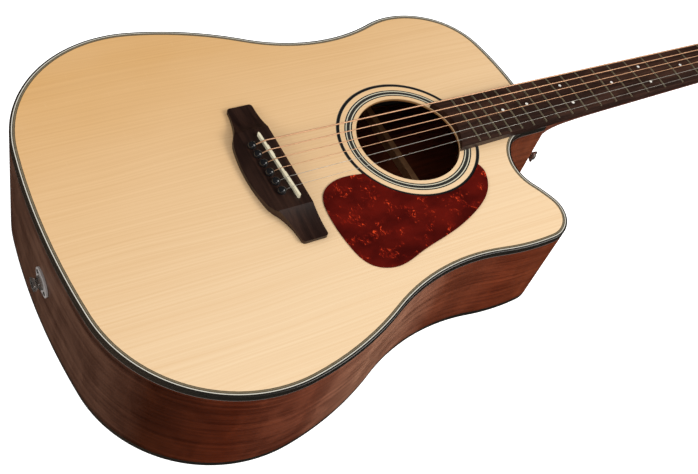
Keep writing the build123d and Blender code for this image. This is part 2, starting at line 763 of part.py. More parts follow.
def tang_face(x, grow):
    half = TANG_WIDE / 2 + grow
    low = BOARD_TOP - TANG_DEEP - grow
    return Plane.XZ * make_face(Polyline((x - half, low), (x + half, low), (x + half, BOARD_TOP + 0.2),
                                         (x - half, BOARD_TOP + 0.2), close=True))


def frets():
    made = []
    for number in range(1, FRETS + 1):
        x = fret_x(number)
        half = board_width(x) / 2 - FRET_INSET
        made.append(crowned(fret_crown(x), half, BOARD_RADIUS) + crowned(tang_face(x, 0), half, BOARD_RADIUS))
    return made


SINGLE_DOTS = [3, 5, 9, 15, 17]
DOUBLE_DOTS = [7, 12]
DOT_R = 1.6
DOT_DEEP = 1.2


def dot_sites():
    sites = []
    for number in SINGLE_DOTS:
        sites.append(((fret_x(number - 1) + fret_x(number)) / 2, 0.0))
    for number in DOUBLE_DOTS:
        x = (fret_x(number - 1) + fret_x(number)) / 2
        spread = board_width(x) * 0.23
        sites += [(x, spread), (x, -spread)]
    return sites


def fret_markers():
    dots = []
    for x, y in dot_sites():
        drop = BOARD_RADIUS - sqrt(BOARD_RADIUS ** 2 - y ** 2)
        dots.append(disc(x, y, BOARD_TOP - drop - DOT_DEEP, BOARD_TOP - drop, DOT_R))
    return dots


def fretboard():
    """Tapered, crowned board whose end is hollowed to the rim of the sound hole."""
    half_nut = NUT_WIDTH / 2
    half_end = board_width(BOARD_END) / 2
    rim = HOLE_R + BOARD_PAST_HOLE
    corner_x = HOLE_X + sqrt(rim ** 2 - half_end ** 2)
    end_arc = ThreePointArc((corner_x, half_end), (HOLE_X + rim, 0), (corner_x, -half_end))
    plan = make_face([end_arc, Line((corner_x, half_end), (SCALE, half_nut)),
                      Line((SCALE, half_nut), (SCALE, -half_nut)),
                      Line((SCALE, -half_nut), (corner_x, -half_end))])
    crown = rod((BOARD_END - 20, 0, BOARD_TOP - BOARD_RADIUS), (SCALE + 20, 0, BOARD_TOP - BOARD_RADIUS),
                BOARD_RADIUS)
    board = extrude(plan, BOARD_THICK + 2) & crown
    for number in range(1, FRETS + 1):
        x = fret_x(number)
        half = board_width(x) / 2 - FRET_INSET + 0.05
        board -= crowned(tang_face(x, 0.02), half, BOARD_RADIUS)
    for x, y in dot_sites():
        board -= disc(x, y, BOARD_TOP - DOT_DEEP - 0.4, BOARD_TOP + 5, DOT_R + 0.02)
    return board


STRING_AT_NUT = FRET_TOP + 0.75


def nut():
    half = NUT_WIDTH / 2
    crest = STRING_AT_NUT + 0.7
    profile = make_face(Polyline((SCALE + 0.03, 0), (NUT_BACK_X - 0.02, 0), (NUT_BACK_X - 0.02, crest - 1.2),
                                 (SCALE + 3.0, crest), (SCALE + 0.03, crest), close=True))
    bar = extrude(Plane.XZ * profile, half, both=True)
    bar = fillet(bar.edges().filter_by(Axis.X).group_by(Axis.Z)[-1], 0.8)
    for y, r in nut_slots():
        gap = r + 0.05
        bar -= rod((SCALE - 2, y, STRING_AT_NUT + r), (NUT_BACK_X + 2, y, STRING_AT_NUT + r), gap)
        bar -= block(SCALE - 2, NUT_BACK_X + 2, y - gap, y + gap, STRING_AT_NUT + r, STRING_AT_NUT + 4)
    return bar


def nut_slots():
    """Sideways place and string radius of each nut slot."""
    spacing = NUT_STRING_SPAN / (STRINGS - 1)
    return [(y, STRING_DIAMETERS[number] / 2) for number, y in enumerate(string_offsets(spacing))]


def truss_rod():
    return rod((ROD_NUT_X - 6, 0, ROD_Z), (SCALE - 14, 0, ROD_Z), ROD_R - 0.2)


def truss_nut():
    """Brass nut on the rod's end inside the body, reached through the soundhole."""
    nut_long = 12.0
    start = ROD_NUT_X - 1.0 - nut_long
    end_plane = Plane(origin=(start, 0, ROD_Z - 0.3), z_dir=(1, 0, 0))
    hexagon = end_plane * extrude(RegularPolygon(4.4, 6), nut_long)
    bored = rod((start + 4, 0, ROD_Z), (start + 30, 0, ROD_Z), ROD_R - 0.2 + RUNNING)
    return hexagon - bored


# ---------------------------------------------------------------- strings
TOP_WRAP = 6.4                     # upper edge of the winding, over the headstock face
WRAP_GAP = 0.3                     # gap between the fixed run of a string and its turning winding


def post_string(site_number, side):
    """Which string a post carries, counted from the bass side."""
    return site_number if side == 1 else STRINGS - 1 - site_number


def string_ends():
    """Where each string's fixed run stops, beside its post and just over the winding."""
    ends = {}
    for number, side, x, y in tuner_sites():
        which = post_string(number, side)
        r = STRING_DIAMETERS[which] / 2
        place = HEAD_FRAME * Pos(x + 0.5, y - side * (POST_R + r + WRAP_GAP), TOP_WRAP + r + WRAP_GAP)
        ends[which] = tuple(place.position)
    return ends


def strings():
    """Each string from its ball end, over saddle and nut, to just short of its post."""
    ends = string_ends()
    made = []
    for number, ((pin_x, y), (nut_y, r)) in enumerate(zip(pin_places(), nut_slots())):
        entry = pin_x + 2.0
        points = [(entry, y, -9.0), (entry, y, BRIDGE_HIGH + 1.0), (saddle_x(y), y, SADDLE_TOP + r),
                  (NUT_BACK_X + 0.3, nut_y, STRING_AT_NUT + r), ends[number]]
        path = FilletPolyline(*points, radius=1.6)
        section = Plane(origin=path @ 0, z_dir=path % 0) * Circle(r)
        ball = rod((entry, y - 1.5, -9.4), (entry, y + 1.5, -9.4), 1.9)
        made.append(sweep(section, path) + ball)
    return made


# ---------------------------------------------------------------- tuning machines
HOUSING_HIGH = 10.5
HOUSING_WALL = 1.2
SHAFT_DROP = 5.4
SHAFT_OFFSET = GEAR_R + CLEAR + WORM_R
HOUSING_HALF = 6.6
EAR_R = 3.2
EAR_THICK = 1.6


def tuner_housing(side, x, y):
    """Closed gear box on the back of the headstock, with one screw ear."""
    half = HOUSING_HALF
    floor = HEAD_BACK - HOUSING_HIGH
    shaft_x = x + SHAFT_OFFSET
    shaft_z = HEAD_BACK - SHAFT_DROP
    x0, x1 = x - half, shaft_x + 4.0
    box = block(x0, x1, y - half, y + half, floor, HEAD_BACK)
    box = fillet(box.edges().filter_by(Axis.Z), 2.5)
    box = fillet(box.faces().sort_by(Axis.Z)[0].edges(), 1.0)
    box -= block(x0 + HOUSING_WALL, x1 - HOUSING_WALL, y - half + HOUSING_WALL, y + half - HOUSING_WALL,
                 floor + HOUSING_WALL, HEAD_BACK + 1)
    outer = y + side * half
    box += rod((shaft_x, outer - side * 1.0, shaft_z), (shaft_x, outer + side * 2.0, shaft_z), 3.2)
    box -= rod((shaft_x, y, shaft_z), (shaft_x, outer + side * 9, shaft_z), KEY_SHAFT_R + RUNNING)
    ear_x, ear_y = ear_place(side, x, y)
    wall_y = y - side * 6.0
    box += disc(ear_x, ear_y, HEAD_BACK - EAR_THICK, HEAD_BACK, EAR_R)
    box += block(ear_x - EAR_R, ear_x + EAR_R, min(ear_y, wall_y), max(ear_y, wall_y),
                 HEAD_BACK - EAR_THICK, HEAD_BACK)
    box -= disc(ear_x, ear_y, HEAD_BACK - 5, HEAD_BACK + 1, 1.15)
    return HEAD_FRAME * box


def tuner_bushing(x, y):
    """Ferrule on the headstock's face that the post turns in."""
    flange = disc(x, y, 0, 1.4, 5.6)
    sleeve = disc(x, y, -8, 0.5, BUSH_R)
    return HEAD_FRAME * (flange + sleeve - disc(x, y, -20, 20, POST_R + RUNNING))


def tuner_post(number, side, x, y):
    """Post with its gear wheel, and the turns of string wound on it."""
    r = STRING_DIAMETERS[post_string(number, side)] / 2
    top = 11.0                     # over the headstock's face
    post = disc(x, y, HEAD_BACK - HOUSING_HIGH + HOUSING_WALL + 0.3, top, POST_R)
    post += disc(x, y, top - 1.4, top, POST_R + 0.4)
    gear_z = HEAD_BACK - SHAFT_DROP
    post += disc(x, y, gear_z - 1.8, gear_z + 1.8, GEAR_R)
    post -= rod((x - 9, y, TOP_WRAP + 1.6), (x + 9, y, TOP_WRAP + 1.6), 0.8)
    pitch = 2 * r + 0.04
    turns = []
    for turn in range(3 if r > 0.35 else 5):
        turns.append(Pos(x, y, TOP_WRAP - r - turn * pitch) * Torus(POST_R + r + 0.02, r))
    return [HEAD_FRAME * piece for piece in [post] + turns]


def tuner_key(side, x, y):
    """Worm shaft with the oval key that the player turns."""
    axis_x = x + SHAFT_OFFSET
    shaft_z = HEAD_BACK - SHAFT_DROP
    inner = y - side * 4.8
    edge = side * head_half_width(x)
    knob_at = edge + side * 15.0
    shaft = rod((axis_x, inner, shaft_z), (axis_x, knob_at, shaft_z), KEY_SHAFT_R)
    worm = rod((axis_x, y - side * 3.6, shaft_z), (axis_x, y + side * 3.6, shaft_z), WORM_R)
    stem = rod((axis_x, edge + side * 3.0, shaft_z), (axis_x, knob_at, shaft_z), 2.6)
    grip = Box(20.0, 14.0, 6.6)
    grip = fillet(grip.edges().filter_by(Axis.Z), 5.8)
    grip = fillet(grip.edges().group_by(Axis.Z)[0] + grip.edges().group_by(Axis.Z)[-1], 3.0)
    grip = Pos(axis_x, knob_at + side * 2.0, shaft_z) * grip
    return HEAD_FRAME * (shaft + worm + stem + grip)


def tuner_screws():
    made = []
    for number, side, x, y in tuner_sites():
        ear_x, ear_y = ear_place(side, x, y)
        shank = disc(ear_x, ear_y, HEAD_BACK - EAR_THICK - 0.1, HEAD_BACK + 5.5, 1.05)
        head = disc(ear_x, ear_y, HEAD_BACK - EAR_THICK - 1.4, HEAD_BACK - EAR_THICK, 2.2)
        slot = block(ear_x - 3, ear_x + 3, ear_y - 0.25, ear_y + 0.25, HEAD_BACK - 4, HEAD_BACK - 2.4)
        made.append(HEAD_FRAME * (shank + head - slot))
    return made


# ---------------------------------------------------------------- side preamp
PRE_ARC = BASS_ARCS[UPPER_BOUT_ARC]
PRE_R = PRE_ARC[2]
PRE_MID = degrees(PRE_ARC[3] + PRE_ARC[4] / 2)
PRE_Z = -50.0
# local x points straight out of the side, local y runs along it, local z is up
PRE_FRAME = Pos(PRE_ARC[0], PRE_ARC[1], PRE_Z) * Rot(0, 0, PRE_MID)
PANEL_HALF_Y = 34.0
PANEL_HALF_Z = 30.0
PANEL_PROUD = 1.4
WINDOW_HALF_Y = 31.5
WINDOW_HALF_Z = 27.0
SLIDER_PLACES = [-22.0, -12.0, -2.0]
SLIDER_Z = -5.0
SLIDER_TRAVEL = 10.0
BUTTON_Y = -12.0
BUTTON_Z = 19.0
BUTTON_R = 3.2
DOOR_Y = 18.0
DOOR_HALF_Y = 10.5
DOOR_HALF_Z = 16.0
DOOR_Z = -4.0
DOOR_THICK = 2.0
DOOR_HINGE = (0.0, DOOR_HALF_Y, DOOR_Z)                    # upright axis on the door's outer edge
CASE_DEEP = 56.0


def shell_band(inner, outer, half_y, half_z):
    """Piece of an upright cylinder wall, centred on local x."""
    wall = Cylinder(outer, 2 * half_z) - Cylinder(inner, 2 * half_z + 2)
    return wall & block(0, outer + 5, -half_y, half_y, -half_z - 1, half_z + 1)


def preamp_window():
    return PRE_FRAME * block(PRE_R - 12, PRE_R + 12, -WINDOW_HALF_Y, WINDOW_HALF_Y,
                             -WINDOW_HALF_Z, WINDOW_HALF_Z)


def at_panel(y):
    """Local place on the panel's outer face, x square to the face."""
    return Rot(0, 0, degrees(asin(y / PRE_R))) * Pos(PRE_R + PANEL_PROUD, 0, 0)


def door_zone(grow, deep):
    """Space of the battery door, with a gap round it."""
    return at_panel(DOOR_Y) * block(-deep, 6, -DOOR_HALF_Y - grow, DOOR_HALF_Y + grow,
                                    DOOR_Z - DOOR_HALF_Z - grow, DOOR_Z + DOOR_HALF_Z + grow)


def preamp_panel():
    rim = shell_band(PRE_R + 0.05, PRE_R + PANEL_PROUD, PANEL_HALF_Y, PANEL_HALF_Z)
    plug = shell_band(PRE_R - SIDE_THICK, PRE_R + 0.05, WINDOW_HALF_Y - 0.2, WINDOW_HALF_Z - 0.2)
    panel = rim + plug
    for y in SLIDER_PLACES:
        reach = SLIDER_TRAVEL + 2.4
        panel -= at_panel(y) * block(-10, 5, -1.2, 1.2, SLIDER_Z - reach, SLIDER_Z + reach)
    panel -= at_panel(BUTTON_Y) * Pos(0, 0, BUTTON_Z) * Rot(0, 90, 0) * Cylinder(BUTTON_R + CLEAR, 20)
    panel -= door_zone(CLEAR + 0.1, 10)
    swing = Cylinder(DOOR_THICK + CLEAR + 0.2, 2 * DOOR_HALF_Z + 1)
    panel -= at_panel(DOOR_Y) * Pos(*DOOR_HINGE) * swing
    return PRE_FRAME * panel


def case_block(grow):
    return block(PRE_R - CASE_DEEP - grow, PRE_R + 5, -29 - grow, 29.5 + grow, -25 - grow, 25 + grow)


def preamp_case_zone(grow):
    return PRE_FRAME * case_block(grow)


def preamp_case():
    """Open-fronted case behind the panel, with a bay for the battery."""
    outer = case_block(0) & Cylinder(PRE_R - SIDE_THICK - 0.1, 80)
    wall = 1.5
    back = PRE_R - CASE_DEEP + wall
    electronics = block(back, PRE_R + 5, -29 + wall, 6.5, -25 + wall, 25 - wall)
    bay = block(back, PRE_R + 5, 8.0, 29.5 - wall, -25 + wall, 25 - wall)
    return PRE_FRAME * (outer - electronics - bay)


def preamp_board():
    """Circuit board standing in the case, with its larger components."""
    plate = block(PRE_R - 48, PRE_R - 46.4, -26.5, 5.5, -22.5, 22.5)
    for y, z in ((-18, 10), (-8, -12), (0, 12)):
        plate += block(PRE_R - 46.4, PRE_R - 42, y - 3, y + 3, z - 4, z + 4)
    return PRE_FRAME * plate


def battery():
    body = block(PRE_R - 54, PRE_R - 9, DOOR_Y - 8.6, DOOR_Y + 8.6, DOOR_Z - 13.2, DOOR_Z + 13.2)
    body = fillet(body.edges().filter_by(Axis.X), 2.0)
    return PRE_FRAME * body


def battery_door():
    """Curved door that swings out on its edge nearer the tail."""
    wall = shell_band(PRE_R + PANEL_PROUD - DOOR_THICK, PRE_R + PANEL_PROUD, 34, 26)
    door = wall & door_zone(0, 10)
    grip = at_panel(DOOR_Y) * block(-1.4, 1.0, -DOOR_HALF_Y + 1.2, -DOOR_HALF_Y + 2.6,
                                    DOOR_Z - 7, DOOR_Z + 7)
    return PRE_FRAME * (door + grip)


def slider(y):
    """Slide control: a stem through the panel and a ridged cap."""
    stem = block(-7.0, 1.2, -0.9, 0.9, SLIDER_Z - 2.0, SLIDER_Z + 2.0)
    cap = block(0.5, 4.0, -2.4, 2.4, SLIDER_Z - 3.4, SLIDER_Z + 3.4)
    cap = fillet(cap.faces().sort_by(Axis.X)[-1].edges(), 0.7)
    for step in (-1.6, 0, 1.6):
        cap -= block(3.5, 5, -3, 3, SLIDER_Z + step - 0.3, SLIDER_Z + step + 0.3)
    return PRE_FRAME * at_panel(y) * (stem + cap)


def tuner_button():
    button = Pos(-5.5, 0, BUTTON_Z) * Rot(0, 90, 0) * Cylinder(BUTTON_R, 7.0, align=LOW)
    button = fillet(button.faces().sort_by(Axis.X)[-1].edges(), 0.6)
    return PRE_FRAME * at_panel(BUTTON_Y) * button


# ---------------------------------------------------------------- write every piece
save(soundboard(), "soundboard")
save(back_plate(), "back_plate")
side_bass, side_treble = sides()
save(side_bass, "side_bass")
save(side_treble, "side_treble")
neck_block_piece, tail_block_piece = end_blocks()
save(neck_block_piece, "neck_block")
save(tail_block_piece, "tail_block")
top_lining, back_lining = linings()
save(top_lining, "top_lining")
save(back_lining, "back_lining")
save(top_binding(), "top_binding")
save(back_binding(), "back_binding")
save(top_purfling(), "top_purfling")
save(rosette(), "rosette")
save(x_braces(), "x_brace")
save(other_top_braces(), "top_braces")
save(back_braces(), "back_braces")
save(back_strip(), "back_strip")
save(bridge_plate(), "bridge_plate")
save(bridge(), "bridge")
save(saddle(), "saddle")
save(saddle_pickup(), "saddle_pickup")
save(bridge_pins(), "bridge_pins")
save(pickguard(), "pickguard")
save(jack_plate(), "jack_plate")
save(jack_nut(), "jack_nut")
save(jack_barrel(), "jack_barrel")
save(jack_screws() + tuner_screws() + [heel_button_screw()], "wood_screws")
save(heel_button(), "heel_button")
save(neck(), "neck")
save(heel_cap(), "heel_cap")
save(headstock_veneer(), "headstock_veneer")
save(fretboard(), "fretboard")
save(frets(), "frets")
save(fret_markers(), "fret_markers")
save(nut(), "nut")
save(truss_rod(), "truss_rod")
save(truss_nut(), "truss_nut")
all_strings = strings()
save(all_strings[:4], "strings_wound")
save(all_strings[4:], "strings_plain")
SIDE_NAMES = {1: "bass", -1: "treble"}
housings = []
bushings = []
for number, side, x, y in tuner_sites():
    label = SIDE_NAMES[side] + "_" + str(number + 1)
    housings.append(tuner_housing(side, x, y))
    bushings.append(tuner_bushing(x, y))
    save(tuner_post(number, side, x, y), "tuner_post_" + label)
    save(tuner_key(side, x, y), "tuner_key_" + label)
save(housings, "tuner_housings")
save(bushings, "tuner_bushings")
save(preamp_panel(), "preamp_panel")
save([preamp_case(), preamp_board()], "preamp_case")
save(battery(), "battery")
save(battery_door(), "battery_door")
for name, y in zip(("volume", "bass", "treble"), SLIDER_PLACES):
    save(slider(y), "slider_" + name)
save(tuner_button(), "tuner_button")
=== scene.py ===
import json
from math import atan2, cos, pi, radians, sin

import bmesh
import bpy
from mathutils import Matrix, Vector


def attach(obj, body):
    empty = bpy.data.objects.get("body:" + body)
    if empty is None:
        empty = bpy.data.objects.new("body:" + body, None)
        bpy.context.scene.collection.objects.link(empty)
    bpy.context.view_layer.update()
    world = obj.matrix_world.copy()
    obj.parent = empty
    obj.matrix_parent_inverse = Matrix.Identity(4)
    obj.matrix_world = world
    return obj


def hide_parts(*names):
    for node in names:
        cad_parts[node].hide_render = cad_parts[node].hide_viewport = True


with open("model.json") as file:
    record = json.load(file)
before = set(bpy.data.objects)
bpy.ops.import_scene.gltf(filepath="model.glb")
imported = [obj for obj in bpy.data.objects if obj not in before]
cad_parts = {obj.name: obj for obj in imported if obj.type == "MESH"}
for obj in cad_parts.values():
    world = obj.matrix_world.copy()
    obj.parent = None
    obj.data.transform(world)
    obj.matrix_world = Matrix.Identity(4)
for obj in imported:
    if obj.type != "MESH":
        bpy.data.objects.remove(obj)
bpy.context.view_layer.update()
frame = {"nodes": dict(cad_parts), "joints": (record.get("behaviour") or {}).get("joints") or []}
nodes = frame["nodes"]

MM = 0.001

# ---------------------------------------------------------------- the luthier's frame
# x runs from the saddle line to the headstock, y to the bass side, z out of the soundboard.
# The guitar lies on its flat back, which leans against the top by the taper of the body.
joint_axis = {joint["name"]: joint["axis"] for joint in frame["joints"]}
UP = Vector(joint_axis["volume_slide"])                  # square to the soundboard
LEAN = atan2(UP.x, UP.z)
DEPTH_SADDLE = 115.36 * MM                               # top above back, square to the top
TO_ROW = Matrix.Rotation(LEAN, 4, "Y") @ Matrix.Translation((0, 0, DEPTH_SADDLE))

HOLE_X = 137.8
HOLE_R = 51.0
TAIL_X = -213.9
BINDING_WIDE = 1.8
BINDING_HIGH = 6.0
SIDE_LINE_HIGH = 0.7                                     # fine pale line on the side under the binding
BACK_SLOPE = UP.x / UP.z

# Tangent arcs round the body, the same as the CAD outline: radius, turn in degrees.
BASS_OUTLINE = [(658.0, -7.6), (127.2, -90.1), (310.0, -20.6), (170.8, 47.1), (85.8, -51.3),
                (72.2, -45.4), (304.0, -12.1)]
TREBLE_OUTLINE = [(663.0, -7.4), (128.2, -90.4), (287.0, -20.7), (187.2, 38.8), (233.0, -14.1),
                  (30.1, -106.3), (128.0, -10.0), (41.2, 76.0), (32.0, 44.1)]
ARC_STEP = 1.6                                           # mm between points along an arc
CORNER_STEPS = 12                                        # points along each straight edge at the neck
SMOOTH_UP_TO = 30.0                                      # degrees between faces shaded as one


# ---------------------------------------------------------------- node helpers
class Shader:
    """A node material with short calls for the nodes it needs."""

    def __init__(self, name):
        self.material = bpy.data.materials.new(name)
        self.material.use_nodes = True
        self.tree = self.material.node_tree
        self.surface = self.tree.nodes["Principled BSDF"]

    def node(self, kind, **settings):
        made = self.tree.nodes.new(kind)
        for key, value in settings.items():
            setattr(made, key, value)
        return made

    def plug(self, socket, value):
        if hasattr(value, "links"):
            self.tree.links.new(value, socket)
        else:
            socket.default_value = value

    def luthier(self):
        """Coordinates in the luthier's frame, in metres."""
        coords = self.node("ShaderNodeTexCoord")
        turn = self.node("ShaderNodeMapping", vector_type="POINT")
        turn.inputs["Rotation"].default_value = (0, -LEAN, 0)
        turn.inputs["Location"].default_value = (0, 0, -DEPTH_SADDLE)
        self.plug(turn.inputs["Vector"], coords.outputs["Object"])
        return turn.outputs["Vector"]

    def scaled(self, vector, factors):
        made = self.node("ShaderNodeVectorMath", operation="MULTIPLY")
        self.plug(made.inputs[0], vector)
        made.inputs[1].default_value = factors
        return made.outputs["Vector"]

    def shifted(self, vector, by):
        made = self.node("ShaderNodeVectorMath", operation="ADD")
        self.plug(made.inputs[0], vector)
        made.inputs[1].default_value = by
        return made.outputs["Vector"]

    def parts(self, vector):
        made = self.node("ShaderNodeSeparateXYZ")
        self.plug(made.inputs[0], vector)
        return made.outputs

    def joined(self, x, y, z):
        made = self.node("ShaderNodeCombineXYZ")
        for socket, value in zip(made.inputs, (x, y, z)):
            self.plug(socket, value)
        return made.outputs[0]

    def noise(self, vector, scale, detail=3.0, rough=0.5, distortion=0.0):
        made = self.node("ShaderNodeTexNoise")
        self.plug(made.inputs["Vector"], vector)
        made.inputs["Scale"].default_value = scale
        made.inputs["Detail"].default_value = detail
        made.inputs["Roughness"].default_value = rough
        made.inputs["Distortion"].default_value = distortion
        return made.outputs["Fac"]

    def math(self, operation, *values):
        made = self.node("ShaderNodeMath", operation=operation)
        for socket, value in zip(made.inputs, values):
            self.plug(socket, value)
        return made.outputs[0]

    def length(self, vector):
        made = self.node("ShaderNodeVectorMath", operation="LENGTH")
        self.plug(made.inputs[0], vector)
        return made.outputs["Value"]

    def spread(self, value, low, high, to_low=0.0, to_high=1.0):
        made = self.node("ShaderNodeMapRange")
        self.plug(made.inputs["Value"], value)
        limits = {"From Min": low, "From Max": high, "To Min": to_low, "To Max": to_high}
        for key, number in limits.items():
            made.inputs[key].default_value = number
        return made.outputs["Result"]

    def ramp(self, value, stops, interpolation="LINEAR"):
        made = self.node("ShaderNodeValToRGB")
        made.color_ramp.interpolation = interpolation
        elements = made.color_ramp.elements
        while len(elements) < len(stops):
            elements.new(0.5)
        for element, (place, colour) in zip(elements, stops):
            element.position = place
            element.color = (*colour, 1.0)
        self.plug(made.inputs["Fac"], value)
        return made.outputs["Color"]

    def blend(self, amount, a, b, mode="MIX"):
        made = self.node("ShaderNodeMix", data_type="RGBA", blend_type=mode)
        self.plug(made.inputs[0], amount)
        for socket, value in ((made.inputs[6], a), (made.inputs[7], b)):
            self.plug(socket, (*value, 1.0) if isinstance(value, tuple) else value)
        return made.outputs[2]

    def bump(self, height, strength, distance):
        made = self.node("ShaderNodeBump")
        made.inputs["Strength"].default_value = strength
        made.inputs["Distance"].default_value = distance
        self.plug(made.inputs["Height"], height)
        self.plug(self.surface.inputs["Normal"], made.outputs["Normal"])

    def finish(self, colour, roughness, metallic=0.0, coat=0.0, coat_roughness=0.04, specular=0.5):
        """Set the surface; numbers go straight on the shader's own sockets."""
        settings = {"Base Color": colour, "Roughness": roughness, "Metallic": metallic,
                    "Coat Weight": coat, "Coat Roughness": coat_roughness, "Specular IOR Level": specular}
        for key, value in settings.items():
            self.plug(self.surface.inputs[key], value)
        return self.material


# ---------------------------------------------------------------- wood
def spruce_top():
    """Book-matched quarter-sawn spruce under a thin gloss lacquer."""
    s = Shader("spruce_top")
    place = s.luthier()
    x, y, z = s.parts(place)
    half = s.math("ABSOLUTE", y)
    board = s.joined(x, half, 0.0)
    drift = s.noise(s.scaled(board, (3.0, 8.0, 1.0)), 1.0, 2.0)
    wander = s.math("MULTIPLY", s.spread(drift, 0.3, 0.7, -1.0, 1.0), 0.004)
    across = s.math("ADD", half, wander)
    lines = s.joined(s.math("MULTIPLY", x, 1.4), s.math("MULTIPLY", across, 520.0), 0.0)
    rings = s.noise(lines, 1.0, 4.0, 0.65)
    wide = s.noise(s.joined(s.math("MULTIPLY", x, 0.6), s.math("MULTIPLY", across, 60.0), 3.0), 1.0, 3.0)
    fleck = s.noise(s.joined(s.math("MULTIPLY", x, 420.0), s.math("MULTIPLY", y, 60.0), 7.0), 1.0, 3.0, 0.6)
    cloud = s.noise(s.scaled(place, (9.0, 14.0, 1.0)), 1.0, 2.0)
    line = s.spread(rings, 0.36, 0.76)
    amber = s.blend(line, (0.68, 0.392, 0.148), (0.605, 0.335, 0.115))
    pale = s.blend(line, (0.82, 0.612, 0.385), (0.735, 0.505, 0.285))
    # Painted shade, partly wood tone: the top is darker amber towards the tail and bass edge and paler
    # towards the treble side, where the key light falls.
    tone_and_shade_slope = s.math("ADD", y, s.math("MULTIPLY", x, -0.25))
    tone = s.blend(s.spread(tone_and_shade_slope, 0.19, -0.13), amber, pale)
    tone = s.blend(s.spread(wide, 0.38, 0.7, 0.0, 0.12), tone, (0.70, 0.43, 0.205))
    tone = s.blend(s.spread(fleck, 0.62, 0.80, 0.0, 0.10), tone, (0.86, 0.64, 0.40))
    tone = s.blend(s.spread(cloud, 0.35, 0.65, 0.0, 0.12), tone, (0.80, 0.56, 0.33))
    # Painted shade: the cut edge of the top inside the sound hole, below its surface, is darkened.
    edge = s.spread(s.parts(place)[2], -0.3 * MM, -1.2 * MM)
    tone = s.blend(edge, tone, (0.30, 0.14, 0.05))
    s.bump(rings, 0.03, 0.0002)
    return s.finish(tone, 0.45, coat=0.35, coat_roughness=0.2, specular=0.35)


def streaked_wood(name, shades, along, across, pore_strength, figure=0.5):
    """Open-pored wood: streaks along the grain, short dark pores, soft ribbon figure."""
    dark, mid, light = shades
    s = Shader(name)
    place = s.luthier()
    streak = s.noise(s.scaled(place, across), 1.0, 5.0, 0.62, 0.3)
    ribbon = s.noise(s.scaled(place, along), 1.0, 3.0, 0.55, 0.4)
    pores = s.noise(s.scaled(place, tuple(a * 4.5 for a in across)), 1.0, 2.0, 0.7)
    tone = s.ramp(s.spread(streak, 0.28, 0.74), [(0.0, dark), (0.5, mid), (1.0, light)])
    tone = s.blend(s.spread(ribbon, 0.38, 0.66, 0.0, figure), tone, dark)
    tone = s.blend(s.spread(ribbon, 0.52, 0.36, 0.0, figure), tone, light)
    tone = s.blend(s.spread(pores, 0.56, 0.70, 0.0, pore_strength), tone, tuple(c * 0.35 for c in dark))
    s.bump(pores, 0.10, 0.0001)
    return s, tone


# Tone of the bent sides from the tail to the neck, wood tone with a painted reflection that makes the tail
# greyer and the waist paler: place along the body in mm, colour.
SIDE_TONES_AND_SHEEN = [(-214.0, (0.072, 0.0335, 0.0205)), (-180.0, (0.034, 0.0070, 0.0018)),
              (-126.0, (0.066, 0.0100, 0.0020)), (-60.0, (0.115, 0.0310, 0.0150)),
              (5.0, (0.215, 0.0960, 0.0580)), (58.0, (0.205, 0.0880, 0.0530)),
              (106.0, (0.104, 0.0250, 0.0105)), (170.0, (0.104, 0.0185, 0.0055)),
              (290.0, (0.130, 0.0320, 0.0120))]


def mahogany_side():
    """Dark red-brown bent side with a painted reflection, greyer at the tail and paler at the waist, with a
    fine line on top.
    """
    shades = ((0.46, 0.38, 0.34), (1.0, 1.0, 1.0), (1.55, 1.65, 1.65))
    s, grain = streaked_wood("mahogany_side", shades, (40.0, 40.0, 24.0), (6.5, 6.5, 165.0), 0.4, 0.28)
    x, y, z = s.parts(s.luthier())
    first, last = SIDE_TONES_AND_SHEEN[0][0], SIDE_TONES_AND_SHEEN[-1][0]
    stops = [((place - first) / (last - first), colour) for place, colour in SIDE_TONES_AND_SHEEN]
    # Painted reflection, partly wood tone: the ramp along the body makes the side greyer at the tail and
    # paler at the waist, on the bass side too.
    tone = s.blend(1.0, s.ramp(s.spread(x, first * MM, last * MM), stops), grain, "MULTIPLY")
    line_low = s.math("GREATER_THAN", z, -(BINDING_HIGH + SIDE_LINE_HIGH) * MM)
    tone = s.blend(line_low, tone, (0.105, 0.085, 0.075))
    return s.finish(tone, 0.36, specular=0.10)


def mahogany_back():
    """Red-brown back plate with its grain along the body."""
    shades = ((0.070, 0.014, 0.006), (0.145, 0.030, 0.011), (0.240, 0.055, 0.021))
    s, tone = streaked_wood("mahogany_back", shades, (8.0, 26.0, 10.0), (6.0, 240.0, 60.0), 0.55)
    return s.finish(tone, 0.38, coat=0.85, coat_roughness=0.05)


def neck_wood():
    """Satin mahogany with its grain along the neck."""
    shades = ((0.080, 0.020, 0.010), (0.165, 0.040, 0.017), (0.25, 0.070, 0.030))
    s, tone = streaked_wood("neck_wood", shades, (8.0, 40.0, 40.0), (7.0, 260.0, 260.0), 0.45)
    return s.finish(tone, 0.44, coat=0.3, coat_roughness=0.15, specular=0.35)


def board_wood():
    """Oiled rosewood of the fretboard and the headstock's face, grain along the neck."""
    shades = ((0.015, 0.0055, 0.003), (0.035, 0.0125, 0.007), (0.068, 0.026, 0.014))
    s, tone = streaked_wood("board_wood", shades, (10.0, 60.0, 20.0), (8.0, 420.0, 200.0), 0.6)
    return s.finish(tone, 0.46, coat=0.1, coat_roughness=0.3, specular=0.4)


def bridge_wood():
    """The same wood with its grain across the body."""
    shades = ((0.011, 0.0035, 0.002), (0.023, 0.008, 0.0045), (0.044, 0.017, 0.009))
    s, tone = streaked_wood("bridge_wood", shades, (60.0, 10.0, 20.0), (420.0, 8.0, 200.0), 0.6)
    return s.finish(tone, 0.46, coat=0.1, coat_roughness=0.3, specular=0.35)


def pale_wood(name, light, dark):
    """Bare inner wood: blocks, linings and braces."""
    middle = tuple((a + b) / 2 for a, b in zip(light, dark))
    s, tone = streaked_wood(name, (dark, middle, light), (10.0, 30.0, 30.0), (12.0, 300.0, 300.0), 0.12)
    return s.finish(tone, 0.7)


